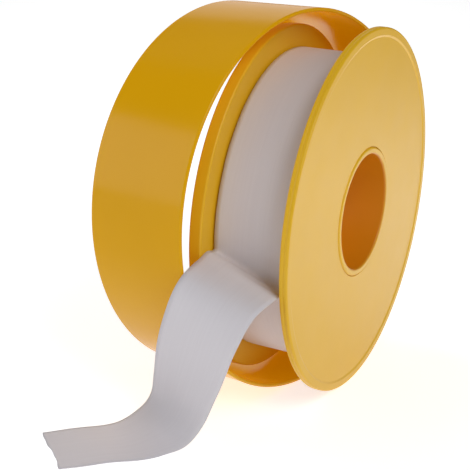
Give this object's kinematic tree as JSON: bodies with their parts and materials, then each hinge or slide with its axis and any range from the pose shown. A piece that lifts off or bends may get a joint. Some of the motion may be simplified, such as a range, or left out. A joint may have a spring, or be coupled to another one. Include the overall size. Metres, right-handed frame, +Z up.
{
  "type": "thread seal tape roll",
  "caption": "Flanged plastic spool of white thread seal tape, drawn crookedly out of its open ring cover, with the free end of the tape curling down onto the floor.",
  "frame": {"origin": "middle of the spool's bore, on its axis", "axes": "+X along the cover's axis, out of its mouth; +Z up; the floor is level with the cover's lowest line"},
  "size_m": [0.0315, 0.0794, 0.0597],
  "materials": {
    "cover_yellow": "glossy moulded plastic",
    "spool_yellow": "satin moulded plastic",
    "tape_white": "soft matte film"
  },
  "bodies": {
    "cover": {"cover_ring": "cover_yellow"},
    "tape_end": {"tape_tail": "tape_white"},
    "spool": {"near_flange": "spool_yellow", "far_flange": "spool_yellow", "hub": "spool_yellow", "tape_roll": "tape_white"}
  },
  "joints": [
    {"name": "spool_draw", "type": "slide", "parent": "cover", "child": "tape_end", "axis": [1, 0, 0], "range_m": [0, 0.03]},
    {"name": "spool_spin", "type": "hinge", "parent": "tape_end", "child": "spool", "pos_m": [0, 0, 0], "axis": [0.9756, 0.2145, -0.0471], "continuous": true}
  ]
}
